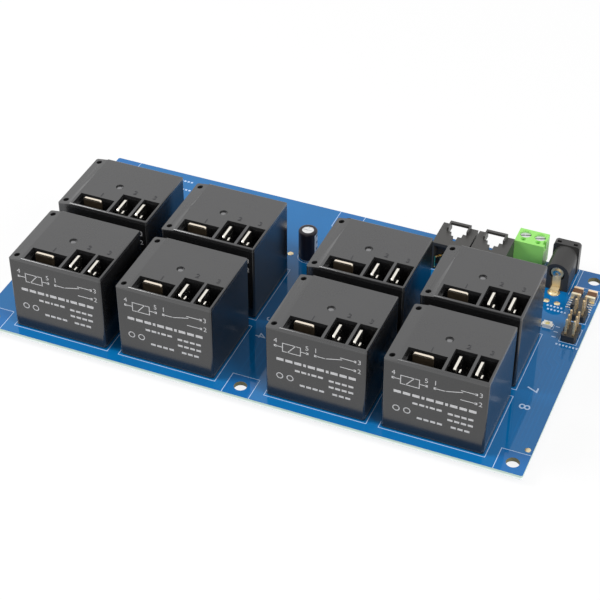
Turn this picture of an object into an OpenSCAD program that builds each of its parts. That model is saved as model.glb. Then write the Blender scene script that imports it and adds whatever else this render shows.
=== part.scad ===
// Relay board: a printed circuit board that carries eight sealed power relays,
// with a screw terminal, a barrel power jack, two modular bus jacks, a pin header
// and a few small surface-mounted parts along its back right corner.
// Origin: centre of the board on its underside. X runs along the long edge,
// Y towards the edge that the jacks open to, Z up.

/* [Board] */
// Length of the circuit board along X
board_l = 184.2; // [178:0.1:230]
// Depth of the circuit board along Y
board_w = 101.6; // [99:0.1:130]
// Thickness of the circuit board
board_t = 1.6; // [1:0.1:2.4]
// Radius of the board's corners
board_corner_r = 0.6; // [0.2:0.1:3]
// Diameter of the mounting holes
hole_d = 4.2; // [3:0.1:5]
// Distance of the corner holes from the board's ends
hole_inset_x = 4.3; // [3.5:0.1:6]
// Distance of the mounting holes from the front and back edges
hole_inset_y = 4.5; // [3.5:0.1:6]
// Play between a lead and its drilled hole
leg_clear = 0.15; // [0.1:0.05:0.3]
// Length of the leads below the board's underside
leg_tail = 2; // [1.6:0.1:3]
// Width of the solder ring round a drilled hole
solder_rim = 0.4; // [0.2:0.05:0.5]
// Height of a solder cone below the board
solder_h = 1.4; // [0.8:0.1:1.5]

/* [Relays] */
// Width of a relay case along X
relay_w = 32.4; // [31:0.1:34]
// Depth of a relay case along Y
relay_d = 27.6; // [26:0.1:30]
// Height of a relay case above the board
relay_h = 28.2; // [24:0.1:34]
// Share of the board's free length that lies outside each outer relay column
relay_end_share = 0.299; // [0.2:0.001:0.4]
// Gap between the two relay columns of a pair
relay_pair_gap = 5.15; // [2:0.05:6]
// Gap between the board's front edge and the front relays
relay_front_gap = 4; // [0.5:0.1:6]
// Gap between the front and back relay rows
relay_row_gap = 4.4; // [2:0.1:6]
// Radius of the case's upright edges
case_corner_r = 0.7; // [0.3:0.1:1.5]
// Radius of the case's top edges
case_top_r = 0.5; // [0.2:0.1:1]
// Gap between the case and the board
case_lift = 0.4; // [0.2:0.1:1]
// Width of the low strip along the left of the case's top
strip_w = 4.5; // [3:0.1:5.5]
// How far the strip lies below the top at its inner edge
strip_step = 0.5; // [0.3:0.1:1]
// How far the strip lies below the top at the outer edge
strip_drop = 1.15; // [0.6:0.05:2]
// Depth of the terminal pockets
pocket_depth = 8.5; // [7:0.5:12]
// Wall in front of the terminal pockets
pocket_wall = 0.6; // [0.5:0.1:1.5]
// Width of the common terminal's pocket along X
com_pocket_w = 11.5; // [10:0.1:12]
// Depth of the common terminal's pocket along Y
com_pocket_d = 6; // [5:0.1:8]
// Depth of the two switched terminals' pockets along Y
switch_pocket_d = 10.5; // [9:0.1:14]
// Width of the normally open terminal's pocket
no_pocket_w = 6.8; // [5:0.1:7]
// Width of the normally closed terminal's pocket
nc_pocket_w = 5.6; // [5:0.1:6]
// Wall between neighbouring pockets
pocket_rib = 0.9; // [0.6:0.1:1.2]
// Width of a blade terminal
blade_w = 6.35; // [4.75:0.05:6.4]
// Thickness of a blade terminal
blade_t = 0.8; // [0.5:0.1:1]
// How far a blade's tip stands above the case's top
blade_above = 0.6; // [-2:0.1:1.5]
// Diameter of a relay's solder pins
relay_leg_d = 1.2; // [0.8:0.1:1.5]

/* [Capacitor] */
// Diameter of the capacitor over its sleeve
cap_d = 6.4; // [5:0.1:8]
// Height of the capacitor's top above the board
cap_h = 11.6; // [9:0.1:16]
// Thickness of the printed sleeve
cap_sleeve_t = 0.18; // [0.1:0.01:0.3]
// Distance between the capacitor's leads
cap_pitch = 2.5; // [2:0.1:3.5]
// Distance of the capacitor from the board's left end
cap_x = 86.6; // [85:0.1:88]
// Distance of the capacitor behind the board's front edge
cap_y = 73; // [71:0.1:80]

/* [Modular jacks] */
// Width of a modular jack
jack_w = 12.2; // [12:0.1:12.5]
// Length of a modular jack along Y
jack_l = 12; // [11.5:0.1:14]
// Height of a modular jack's body
jack_h = 11; // [10.9:0.1:13]
// Distance between the two modular jacks
jack_pitch = 12.7; // [12.6:0.1:12.8]
// Distance of the first jack's centre from the board's right end
jack_from_right = 50.95; // [50.6:0.05:54]
// Distance of the jacks' mouths from the board's back edge
jack_set_back = 6.4; // [6.2:0.1:8]
// Width of a jack's mouth
mouth_w = 9.8; // [9.6:0.1:10]
// Height of the latch hood above the jack's body
hood_h = 1.4; // [0.8:0.1:2]
// Number of contact wires in a jack
wire_count = 6; // [4:2:6]
// Distance between the contact wires in a jack's mouth
wire_pitch = 1.27; // [1.2:0.01:1.3]
// Distance between the contact wires where they enter the board
wire_rear_pitch = 2.04; // [1.6:0.01:2.1]

/* [Screw terminal] */
// Distance between the two wire entries
pole_pitch = 5.08; // [5:0.01:5.2]
// Depth of the terminal block along Y
term_d = 7.6; // [7.4:0.1:7.7]
// Height of the terminal block
term_h = 10.2; // [10:0.1:12]
// Distance of the terminal block's centre from the board's right end
term_from_right = 27.3; // [27.2:0.05:27.4]
// How far the terminal block overhangs the board's back edge
term_overhang = 1.6; // [1.4:0.1:2]
// Travel of a wire clamp
clamp_travel = 2; // [1:0.1:2]
// Radial play of a terminal screw
screw_clear = 0.06; // [0.03:0.01:0.1]

/* [Barrel jack] */
// Distance of the barrel jack's axis from the board's right end
barrel_from_right = 15.25; // [15:0.05:15.3]
// Length of the barrel jack along Y
barrel_l = 13.7; // [13:0.1:14.5]
// Width of the barrel jack's flange
barrel_flange_w = 8.9; // [8.4:0.1:9]
// Height of the barrel jack's flange
barrel_h = 11; // [10.9:0.1:12]
// Height of the socket's axis above the board
barrel_axis_z = 6.5; // [6.3:0.1:6.6]
// Diameter of the socket
socket_d = 6.4; // [5.8:0.1:6.6]
// Diameter of the centre pin
barrel_pin_d = 2; // [1.6:0.1:2.5]

// Width of the barrel jack's rear strip
barrel_strip_w = 2.8; // [2:0.1:3.2]
// Width of the barrel jack's solder tabs
barrel_tab_w = 2.2; // [1.6:0.1:2.4]
// Thickness of the barrel jack's strip and tabs
barrel_tab_t = 0.4; // [0.3:0.05:0.5]
// Distance of the rear tab behind the barrel jack
barrel_tab_gap = 1.4; // [1.2:0.1:2]

/* [Pin headers] */
// Distance between header pins
header_pitch = 2.54; // [2.4:0.01:2.6]
// Number of rows of pins in the front header, along Y
header_rows = 3; // [2:1:3]
// Number of rows of pins in the back header, along Y
back_header_rows = 2; // [1:1:2]
// Side of a square header pin
header_pin_w = 0.64; // [0.5:0.01:0.7]
// Height of the pins above the board
header_pin_h = 8.5; // [7:0.1:12]
// Distance of the headers' centres from the board's right end
header_from_right = 4.1; // [4:0.1:4.5]
// Distance of the front header's centre behind the board's front edge
header_y = 67; // [64:0.05:68]
// Distance of the back header's centre behind the board's front edge
back_header_y = 76.9; // [76.4:0.05:77.2]

/* [Surface parts] */
// Width of the integrated circuit's body
ic_w = 5.3; // [4:0.1:5.4]
// Length of the integrated circuit's body
ic_l = 5.3; // [5:0.1:5.4]
// Distance over the integrated circuit's leads
ic_span = 7.8; // [7.6:0.1:8]
// Number of leads on each side of the integrated circuit
ic_leads_per_side = 4; // [3:1:4]
// Distance of the integrated circuit's centre from the board's right end
ic_from_right = 5.45; // [5.3:0.05:6]
// Distance of the integrated circuit's centre behind the board's front edge
ic_from_front = 82.6; // [82.4:0.05:82.7]
// Length of a chip capacitor along Y
chip_l = 4.2; // [3.6:0.1:4.4]
// Width of a chip capacitor
chip_w = 3.2; // [2.5:0.1:3.8]
// Height of a chip capacitor
chip_h = 2.1; // [1.5:0.1:2.6]
// Length of a chip capacitor's metal end
chip_end = 0.9; // [0.5:0.1:1.2]
// Distance of the outer chip capacitor's centre from the board's right end
chip_from_right = 2.85; // [2.4:0.05:3.2]
// Distance between the two chip capacitors along X
chip_pitch = 4.75; // [4.4:0.05:5]
// Distance of the chip capacitors' centres behind the board's front edge
chip_from_front = 87.7; // [87.6:0.05:90]
// Width of the indicator's body
led_w = 2.8; // [2:0.1:3.2]
// Length of the indicator's body
led_l = 2.2; // [2:0.1:3]
// Distance of the indicator's centre from the board's right end
led_from_right = 12.4; // [12:0.1:13]
// Gap between the back relay row and the indicator
led_gap = 4.2; // [2:0.1:8]

/* [Hidden] */
$fn = 48;
eps = 0.01;
hair = 0.02;                     // play between pieces that only lie against each other
fit = 0.1;                       // play of a moulded piece in its recess

// Places on the board, from distances to its left, right and front edges.
function from_left(x) = x - board_l / 2;
function from_right(x) = board_l / 2 - x;
function from_front(y) = y - board_w / 2;

// Relays are numbered in columns from the left, odd at the back and even in front.
RELAYS = [1:8];
relay_pitch_x = relay_w + relay_pair_gap;
relay_pitch_y = relay_d + relay_row_gap;
relay_end_gap = relay_end_share * (board_l - 4 * relay_w - 2 * relay_pair_gap);
relay_right_x = board_l - relay_end_gap - relay_w;
relay_columns = [relay_end_gap, relay_end_gap + relay_pitch_x,
                 relay_right_x - relay_pitch_x, relay_right_x];
function relay_place(n) = [from_left(relay_columns[floor((n - 1) / 2)]),
                           from_front(relay_front_gap + (n % 2) * relay_pitch_y)];

// Terminal pockets of a relay, from the case's front left corner.
nc_x = relay_w - pocket_wall - nc_pocket_w;
no_x = nc_x - pocket_rib - no_pocket_w;
com_x = no_x - pocket_rib - com_pocket_w;
pocket_floor = relay_h - pocket_depth;
blade_tip = relay_h + blade_above;
blade_h = blade_tip - pocket_floor;

// Base plate of a relay, let into the bottom of its case.
base_inset = 1;
base_t = 2.2;
base_w = relay_w - 2 * base_inset;
base_d = relay_d - 2 * base_inset;

// Parts along the back edge.
jack_mouth_y = board_w / 2 - jack_set_back;
jack_floor = 1.3;
mouth_top = 9.4;
jack_recess = 3;                 // open space behind the jack's inner wall
jack_inner = jack_recess + 1;    // back of the plug's space
wire_w = 0.46;
wire_z = 4.77;
wire_row = 0.7;                  // distance of the wires' posts from the jack's rear
peg_d = 3;
peg_x = 4.3;
peg_y = 7;
function jack_x(n) = from_right(jack_from_right) + (n - 1) * jack_pitch;
function wire_x(i) = (i - (wire_count - 1) / 2) * wire_pitch;
function wire_rear_x(i) = (i - (wire_count - 1) / 2) * wire_rear_pitch;

term_w = 2 * pole_pitch;
term_x = from_right(term_from_right);
term_back = board_w / 2 + term_overhang;
screw_y = term_back - 2.7;
pole_leg_y = screw_y - 3.6;
function pole_x(n) = term_x + (n - 1.5) * pole_pitch;

barrel_x = from_right(barrel_from_right);
barrel_back = board_w / 2;
barrel_rear = barrel_back - barrel_l;

header_x = from_right(header_from_right);
header_mid_y = from_front(header_y);
back_header_mid_y = from_front(back_header_y);
header_base_h = header_pitch;

ic_x = from_right(ic_from_right);
ic_y = from_front(ic_from_front);
chip_places = [for (i = [0, 1])
    [from_right(chip_from_right + i * chip_pitch), from_front(chip_from_front)]];
led_place = [from_right(led_from_right),
             from_front(relay_front_gap + relay_pitch_y + relay_d + led_gap + led_l / 2)];

// Through-board leads: [x, y, radius of the circle round the lead].
relay_leg_r = relay_leg_d / 2;
relay_legs = [for (n = RELAYS, fx = [0.14, 0.86], fy = [0.17, 0.83])
    [relay_place(n)[0] + fx * relay_w, relay_place(n)[1] + fy * relay_d, relay_leg_r]];
cap_leg_r = 0.3;
cap_place = [from_left(cap_x), from_front(cap_y)];
cap_legs = [for (s = [-1, 1]) [cap_place[0] + s * cap_pitch / 2, cap_place[1], cap_leg_r]];
jack_legs = [for (n = [1, 2], i = [0:wire_count - 1])
    [jack_x(n) + wire_rear_x(i), jack_mouth_y - jack_l + wire_row, wire_w * 0.71]];
pole_leg = [1, 0.8];
pole_legs = [for (n = [1, 2]) [pole_x(n), pole_leg_y, norm(pole_leg) / 2]];
tab_r = norm([barrel_tab_w, barrel_tab_t]) / 2;
strip_r = norm([barrel_strip_w, barrel_tab_t]) / 2;
rear_tab_y = barrel_rear - barrel_tab_gap;
bore_tab_y = barrel_rear + 0.45 * barrel_l;
switch_tab = [barrel_x - 0.38 * barrel_flange_w, barrel_rear + 0.67 * barrel_l];
barrel_legs = [[barrel_x, rear_tab_y, strip_r], [barrel_x, bore_tab_y, tab_r],
               [switch_tab[0], switch_tab[1], tab_r]];
function header_places(mid_y, rows) = [for (c = [-0.5, 0.5], r = [0:rows - 1])
    [header_x + c * header_pitch, mid_y + (r - (rows - 1) / 2) * header_pitch,
     header_pin_w * 0.71]];
header_legs = header_places(header_mid_y, header_rows);
back_header_legs = header_places(back_header_mid_y, back_header_rows);
legs = concat(relay_legs, cap_legs, jack_legs, pole_legs, barrel_legs, header_legs,
              back_header_legs);
leg_bottom = -leg_tail;

relay_cover_nodes = [for (n = RELAYS) str("relay_cover_", n)];
relay_base_nodes = [for (n = RELAYS) str("relay_base_", n)];
com_tab_nodes = [for (n = RELAYS) str("com_tab_", n)];
switch_tab_nodes = [for (n = RELAYS) str("switch_tabs_", n)];

// Outlines and solids used by several pieces.

// Rectangle with round corners, centred.
module round_rect(w, d, r) {
    square([w - 2 * r, d], center = true);
    square([w, d - 2 * r], center = true);
    for (x = [-1, 1], y = [-1, 1])
        translate([x * (w / 2 - r), y * (d / 2 - r)]) circle(r = r);
}

// Block centred in X and Y that stands on z = 0.
module block(w, d, h) {
    translate([-w / 2, -d / 2, 0]) cube([w, d, h]);
}

// Outline in Y and Z, given as X and Y, drawn out along X about x = 0.
module along_x(w) {
    translate([-w / 2, 0, 0]) rotate([90, 0, 90]) linear_extrude(w) children();
}

// Outline in X and Z, given as X and Y, drawn out along Y from y = 0.
module along_y(l) {
    translate([0, l, 0]) rotate([90, 0, 0]) linear_extrude(l) children();
}

// Upright square bar whose top end is chamfered on all four sides.
module square_pin(w, bottom, top) {
    tip = w * 0.35;
    intersection_for (turn = [0, 90])
        rotate([0, 0, turn]) along_x(w)
            polygon([[-w / 2, bottom + tip], [-w / 2 + tip, bottom],
                     [w / 2 - tip, bottom], [w / 2, bottom + tip],
                     [w / 2, top - tip], [w / 2 - tip, top],
                     [-w / 2 + tip, top], [-w / 2, top - tip]]);
}

module at_relay(n) {
    place = relay_place(n);
    translate([place[0], place[1], board_t]) children();
}

module on_board(place) {
    translate([place[0], place[1], board_t]) children();
}

// Bare board with its mounting holes and a drilled hole for each lead and peg.
module board() {
    color("royalblue") linear_extrude(board_t) difference() {
        round_rect(board_l, board_w, board_corner_r);
        for (x = [-1, 0, 1], y = [-1, 1])
            translate([x * (board_l / 2 - hole_inset_x),
                       y * (board_w / 2 - hole_inset_y)]) circle(d = hole_d);
        for (l = legs)
            translate([l[0], l[1]]) circle(r = l[2] + leg_clear, $fn = 24);
        for (n = [1, 2], s = [-1, 1])
            translate([jack_x(n) + s * peg_x, jack_mouth_y - jack_l + peg_y])
                circle(d = peg_d + 2 * leg_clear);
    }
}

// Front view of the case: flat top with a round right edge, and the low strip
// that slopes to the left edge.
module case_front_outline() {
    union() {
        polygon([[0, case_lift], [relay_w, case_lift],
                 [relay_w, relay_h - case_top_r], [relay_w - case_top_r, relay_h],
                 [strip_w, relay_h], [strip_w, relay_h - strip_step],
                 [0, relay_h - strip_drop]]);
        translate([relay_w - case_top_r, relay_h - case_top_r]) circle(r = case_top_r);
    }
}

// Side view of the case: flat top with round front and back edges.
module case_side_outline() {
    translate([0, case_lift]) square([relay_d, relay_h - case_lift - case_top_r]);
    translate([case_top_r, case_lift])
        square([relay_d - 2 * case_top_r, relay_h - case_lift]);
    for (y = [case_top_r, relay_d - case_top_r])
        translate([y, relay_h - case_top_r]) circle(r = case_top_r);
}

// One terminal pocket, cut down from the case's top.
module pocket(x, w, d) {
    translate([x, pocket_wall, pocket_floor]) cube([w, d, pocket_depth + 1]);
}

// Sealed case of a relay, with the three terminal pockets in its top.
module relay_cover(n) {
    ledge = 0.7;                 // shallow ledge at the left of the common pocket
    vent = [com_x + com_pocket_w - 2.1, switch_pocket_d + 3.9];
    vent_r = 1.3;
    dimple_r = 0.95;
    dimple_x = strip_w * 0.42;
    color([0.11, 0.11, 0.12]) at_relay(n) difference() {
        intersection() {
            along_y(relay_d) case_front_outline();
            translate([relay_w / 2, 0, 0]) along_x(relay_w) case_side_outline();
            translate([relay_w / 2, relay_d / 2, 0])
                linear_extrude(relay_h) round_rect(relay_w, relay_d, case_corner_r);
        }
        pocket(com_x, com_pocket_w, com_pocket_d);
        pocket(no_x, no_pocket_w, switch_pocket_d);
        pocket(nc_x, nc_pocket_w, switch_pocket_d);
        translate([com_x - ledge, pocket_wall, relay_h - 2])
            cube([ledge + eps, com_pocket_d, 3]);
        translate([vent[0], vent[1], relay_h - 0.6]) cylinder(r = vent_r, h = 2);
        for (y = [2.4, relay_d - 2])
            translate([dimple_x, y, relay_h - 2.4]) cylinder(r = dimple_r, h = 3);
        translate([base_inset, base_inset, case_lift - eps])
            cube([base_w, base_d, base_t + eps]);
    }
}

// Base plate that closes a relay's case and stands on four feet.
module relay_base(n) {
    foot_r = 1.3;
    color([0.16, 0.16, 0.17]) at_relay(n) {
        translate([base_inset + fit, base_inset + fit, case_lift])
            cube([base_w - 2 * fit, base_d - 2 * fit, base_t]);
        for (x = [4, relay_w - 4], y = [relay_d * 0.36, relay_d * 0.64])
            translate([x, y, 0]) cylinder(r = foot_r, h = case_lift + eps, $fn = 24);
    }
}

// Flat blade that stands on a pocket's floor, with round upper corners.
module blade() {
    corner = 0.7;
    translate([0, -blade_t / 2, 0]) along_y(blade_t) {
        translate([-blade_w / 2, 0]) square([blade_w, blade_h - corner]);
        translate([-blade_w / 2 + corner, 0]) square([blade_w - 2 * corner, blade_h]);
        for (s = [-1, 1])
            translate([s * (blade_w / 2 - corner), blade_h - corner]) circle(r = corner);
    }
}

// Common terminal: one blade along X, left of its pocket's middle.
module com_tab(n) {
    off_centre = [-1, 0.6];
    color("goldenrod") at_relay(n)
        translate([com_x + com_pocket_w / 2 + off_centre[0],
                   pocket_wall + com_pocket_d / 2 + off_centre[1], pocket_floor])
            blade();
}

// Switched terminals: two blades along Y, each with a low ear beside its front end.
module switch_tabs(n) {
    ear = [0.5, 1.5, blade_h - 1];
    ear_gap = 0.8;
    foot_h = 0.8;
    blade_y = pocket_wall + 1.3 + blade_w / 2;
    color("silver") at_relay(n)
        for (x = [no_x + no_pocket_w / 2 - 0.75, nc_x + nc_pocket_w / 2 - 1.25])
            translate([x, blade_y, pocket_floor]) {
                rotate([0, 0, 90]) blade();
                translate([blade_t / 2 + ear_gap, -blade_w / 2, 0]) cube(ear);
                translate([0, -blade_w / 2, 0])
                    cube([blade_t / 2 + ear_gap + eps, ear[1], foot_h]);
            }
}

// Four solder pins for each relay, from its base plate through the board.
module relay_pins() {
    color("silver") for (l = relay_legs)
        translate([l[0], l[1], leg_bottom])
            cylinder(r = l[2], h = board_t + case_lift - leg_bottom, $fn = 24);
}

// Ring of solder round each lead under the board, as a cone.
module solder_joints() {
    color("lightgray") for (l = legs)
        translate([l[0], l[1], -solder_h]) rotate_extrude($fn = 24)
            polygon([[l[2] + hair, 0], [l[2] + hair + 0.12, 0],
                     [l[2] + leg_clear + solder_rim, solder_h],
                     [l[2] + hair, solder_h]]);
}

// Capacitor: a beaded can in a printed sleeve that folds over the can's top edge.
cap_foot = 0.4;
cap_can_r = cap_d / 2 - cap_sleeve_t;
cap_lip = 1;                     // how far the sleeve folds in over the can's top
cap_shoulder = 0.6;              // rounding of the can's top edge
// Points round the shoulder of a can of radius r that ends at height top.
function shoulder(r, top) = [[r, top - cap_shoulder],
                             [r - 0.3 * cap_shoulder, top - 0.3 * cap_shoulder],
                             [r - cap_shoulder, top]];

module capacitor_can() {
    can_top = cap_h - cap_sleeve_t;
    color("silver") on_board(cap_place) difference() {
        rotate_extrude()
            polygon(concat([[0, cap_foot], [cap_can_r, cap_foot]],
                           shoulder(cap_can_r, can_top), [[0, can_top]]));
        for (turn = [0, 90]) rotate([0, 0, turn])
            translate([0, 0, can_top - 0.15]) block(cap_can_r * 1.2, 0.25, 1);
    }
}

module capacitor_sleeve() {
    inner = shoulder(cap_can_r, cap_h - cap_sleeve_t);
    color([0.08, 0.08, 0.09]) on_board(cap_place) rotate_extrude()
        polygon(concat([[cap_can_r, cap_foot + 0.3], [cap_d / 2, cap_foot + 0.3]],
                       shoulder(cap_d / 2, cap_h),
                       [[cap_can_r - cap_lip, cap_h],
                        [cap_can_r - cap_lip, cap_h - cap_sleeve_t]],
                       [inner[2], inner[1], inner[0]]));
}

// Leads of the capacitor, from the can's foot through the board.
module capacitor_leads() {
    color("silver") for (l = cap_legs)
        translate([l[0], l[1], leg_bottom])
            cylinder(r = l[2], h = board_t + cap_foot - leg_bottom, $fn = 24);
}

// Housing of a modular jack. Its mouth faces +Y, with the latch slot at the top;
// the contact wires come down in a recess at the rear.
module jack_housing(n) {
    hood_w = 7.4;
    hood_l = 4.2;
    hood_bar = 1.1;
    latch_w = 6.2;
    step_w = 4;
    step_l = 2;
    spine_w = 1.5;
    spine_l = 2.6;
    slot_w = wire_w + 0.24;
    rear_wall = 0.6;
    color([0.13, 0.13, 0.13])
        translate([jack_x(n), jack_mouth_y - jack_l, board_t]) difference() {
            union() {
                translate([-jack_w / 2, 0, 0]) cube([jack_w, jack_l, jack_h]);
                translate([-hood_w / 2, jack_l - hood_l, jack_h - eps])
                    cube([hood_w, hood_l, hood_h + eps]);
                for (s = [-1, 1]) translate([s * peg_x, peg_y, -board_t - 1])
                    cylinder(d = peg_d, h = board_t + 1 + eps, $fn = 32);
            }
            translate([-mouth_w / 2, jack_inner, jack_floor])
                cube([mouth_w, jack_l, mouth_top - jack_floor]);
            translate([-latch_w / 2, jack_l - hood_l, mouth_top - eps])
                cube([latch_w, hood_l - hood_bar, jack_h]);
            translate([-latch_w / 2, jack_l - hood_l, mouth_top - eps])
                cube([latch_w, hood_l + 1, jack_h + hood_h - 0.9 - mouth_top]);
            translate([-step_w / 2, jack_l - hood_l - step_l, mouth_top - eps])
                cube([step_w, step_l + eps, jack_h]);
            translate([-spine_w / 2, jack_l - hood_l - step_l - spine_l, mouth_top - eps])
                cube([spine_w, spine_l + step_l, jack_h]);
            translate([rear_wall - jack_w / 2, -1, -eps])
                cube([jack_w - 2 * rear_wall, jack_recess + 1, jack_h - 1.2]);
            for (i = [0:wire_count - 1])
                translate([wire_x(i) - slot_w / 2, jack_recess - 1, wire_z - slot_w / 2])
                    cube([slot_w, 3, slot_w]);
        }
}

// Contact wires of a modular jack: each rises from the board, draws in to the
// plug's spacing, runs through the inner wall and slopes down towards the mouth.
module jack_contacts(n) {
    spring_l = 5;
    spring_fall = 24;
    fan_end = jack_recess - 0.4;
    bend = jack_inner + 0.9;
    color("gold") translate([jack_x(n), jack_mouth_y - jack_l, board_t])
        for (i = [0:wire_count - 1]) {
            fan = [wire_x(i) - wire_rear_x(i), fan_end - wire_row];
            translate([wire_rear_x(i), wire_row, leg_bottom - board_t])
                block(wire_w, wire_w, wire_z + wire_w / 2 - leg_bottom + board_t);
            translate([wire_rear_x(i), wire_row, wire_z - wire_w / 2])
                rotate([0, 0, -atan2(fan[0], fan[1])])
                    translate([-wire_w / 2, 0, 0]) cube([wire_w, norm(fan), wire_w]);
            translate([wire_x(i) - wire_w / 2, fan_end - wire_w / 2, wire_z - wire_w / 2])
                cube([wire_w, bend - fan_end + wire_w / 2, wire_w]);
            translate([wire_x(i), bend, wire_z]) rotate([-spring_fall, 0, 0])
                translate([-wire_w / 2, -wire_w / 2, -wire_w / 2])
                    cube([wire_w, spring_l, wire_w]);
        }
}

// Screw terminal: sizes of the screw and of the rising clamp of each pole.
head_r = 1.9;
head_h = 2;
shank_r = 1.4;
seat_z = 7.1;                    // underside of the shoulder that carries the head
shoulder_t = 0.45;
head_z = seat_z + shoulder_t + 0.05;
clamp_wall = 0.5;
plate_z = 3.5;                   // fixed plate that the wire is pressed against
plate_t = 0.6;
plate_w = 2.2;
clamp_w = 2 * (shank_r + clamp_wall + 0.1);
clamp_d = 4.2;
clamp_low = 0.45;                // underside of a clamp that is fully open
clamp_top_t = 0.75;
clamp_floor_t = 0.8;
clamp_window = plate_z + plate_t + 0.1 - clamp_low - clamp_floor_t;
clamp_h = clamp_floor_t + clamp_window + clamp_top_t;
clamp_play = 0.15;

// Housing with a tongue low on its left side, and a groove above the same height
// on its right side.
module terminal_housing() {
    front_y = term_back - term_d;
    probe_y = screw_y - 3;
    cage_h = seat_z - 0.25;
    tongue = [0.6, 1.8, seat_z];
    tongue_y = front_y + 1.5;
    groove = 0.8;
    side_play = 0.2;
    color("limegreen") translate([0, 0, board_t]) difference() {
        union() {
            translate([term_x - term_w / 2, front_y, 0]) cube([term_w, term_d, term_h]);
            translate([term_x - term_w / 2 - tongue[0], tongue_y, 0])
                cube(tongue + [eps, 0, 0]);
        }
        for (n = [1, 2]) translate([pole_x(n), screw_y, 0]) {
            translate([0, 0, seat_z + shoulder_t]) cylinder(r = head_r + fit, h = term_h);
            cylinder(r = shank_r + screw_clear, h = term_h, $fn = 32);
            translate([0, 0, 0.25])
                block(clamp_w + 2 * clamp_play, clamp_d + 2 * clamp_play, cage_h);
            translate([-1.35, 0, 1]) cube([2.7, term_d, 3]);
            translate([0, pole_leg_y - screw_y, -eps]) translate([-1.25, -0.6, 0])
                cube([2.5, 3, plate_z + plate_t + 0.1]);
            translate([0, probe_y - screw_y, term_h - 2.5]) cylinder(r = 0.9, h = 4, $fn = 24);
        }
        translate([term_x + term_w / 2 - groove, tongue_y - side_play / 2,
                   tongue[2] + side_play])
            cube([groove + 1, tongue[1] + side_play, term_h]);
    }
}

module terminal_screw(n) {
    slot_w = 0.7;
    color("silver") translate([pole_x(n), screw_y, board_t]) difference() {
        union() {
            translate([0, 0, head_z]) cylinder(r = head_r, h = head_h);
            translate([0, 0, plate_z + plate_t + 0.05])
                cylinder(r = shank_r, h = head_z - plate_z - plate_t, $fn = 32);
        }
        translate([0, 0, head_z + head_h - 0.9]) rotate([0, 0, 20])
            block(3 * head_r, slot_w, 2);
    }
}

module terminal_clamp(n) {
    color("gainsboro") translate([pole_x(n), screw_y, board_t + clamp_low]) difference() {
        block(clamp_w, clamp_d, clamp_h);
        translate([0, 0, clamp_floor_t])
            block(clamp_w - 2 * clamp_wall, clamp_d + 1, clamp_window);
        translate([0, 0, clamp_h - clamp_top_t - eps])
            cylinder(r = shank_r + screw_clear, h = 2, $fn = 32);
    }
}

// Fixed contact of each pole: a plate through the clamp, bent down to the board.
module terminal_contacts() {
    plate_front = screw_y + clamp_d / 2;
    color("silver") for (n = [1, 2]) translate([pole_x(n), 0, board_t]) {
        translate([-plate_w / 2, pole_leg_y - pole_leg[1] / 2, plate_z])
            cube([plate_w, plate_front - pole_leg_y + pole_leg[1] / 2, plate_t]);
        translate([0, pole_leg_y, leg_bottom - board_t])
            block(pole_leg[0], pole_leg[1], plate_z + eps - leg_bottom + board_t);
    }
}

// Barrel jack: the housing's arch, mouth flange, socket and contact slots.
barrel_r = 4.1;
barrel_wall = 4;                 // back wall of the socket
barrel_shank_r = barrel_pin_d / 2 - 0.2;
rivet_face = 1.2;                // depth of the recess in the rear face

module barrel_housing() {
    flange_l = 3;
    flange_r = 1.2;
    flange_x = barrel_flange_w / 2;
    strip_slot = barrel_strip_w + 4 * fit;
    leaf_slot = [barrel_tab_w + 3 * fit, 0.49 * barrel_l, 4.2];
    switch_slot = [barrel_tab_t + 3 * fit, barrel_tab_w + 4 * fit, 3.4];
    color([0.1, 0.1, 0.1]) translate([barrel_x, barrel_rear, board_t]) difference() {
        union() {
            along_y(barrel_l) {
                translate([0, barrel_axis_z]) circle(r = barrel_r);
                translate([-barrel_r, 0]) square([2 * barrel_r, barrel_axis_z]);
            }
            translate([0, barrel_l - flange_l, 0]) along_y(flange_l) {
                translate([-flange_x, 0])
                    square([barrel_flange_w, barrel_h - flange_r]);
                translate([flange_r - flange_x, 0])
                    square([barrel_flange_w - 2 * flange_r, barrel_h]);
                for (s = [-1, 1]) translate([s * (flange_x - flange_r), barrel_h - flange_r])
                    circle(r = flange_r);
            }
        }
        translate([0, barrel_wall, barrel_axis_z]) rotate([-90, 0, 0])
            cylinder(d = socket_d, h = barrel_l);
        translate([0, -1, barrel_axis_z]) rotate([-90, 0, 0])
            cylinder(r = barrel_shank_r + hair, h = barrel_l);
        translate([0, -eps, barrel_axis_z]) rotate([-90, 0, 0])
            cylinder(r = 2.7, h = rivet_face + eps);
        translate([-strip_slot / 2, -eps, -eps])
            cube([strip_slot, rivet_face + eps, barrel_axis_z]);
        translate([-leaf_slot[0] / 2, bore_tab_y - barrel_rear - 0.6, -eps])
            cube(leaf_slot);
        translate([switch_tab[0] - barrel_x, switch_tab[1] - barrel_rear, -eps])
            block(switch_slot[0], switch_slot[1], switch_slot[2]);
        for (s = [-1, 1]) translate([s * (flange_x - 1.7), barrel_l - 1.8, barrel_h - 1])
            block(1.4, 1.1, 2);
    }
}

// Centre pin of the socket: its thinner shank is riveted over the rear strip.
module barrel_pin() {
    pin_end = barrel_l - 0.8;
    color("silver") translate([barrel_x, barrel_rear, board_t + barrel_axis_z])
        rotate([-90, 0, 0]) difference() {
            union() {
                translate([0, 0, barrel_wall])
                    cylinder(d = barrel_pin_d, h = pin_end - barrel_wall);
                translate([0, 0, 0.2]) cylinder(r = barrel_shank_r, h = barrel_wall);
                translate([0, 0, 0.2]) cylinder(r = 1.3, h = 0.6);
            }
            translate([0, 0, -1]) cylinder(r = 0.5, h = 2.2, $fn = 24);
        }
}

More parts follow.
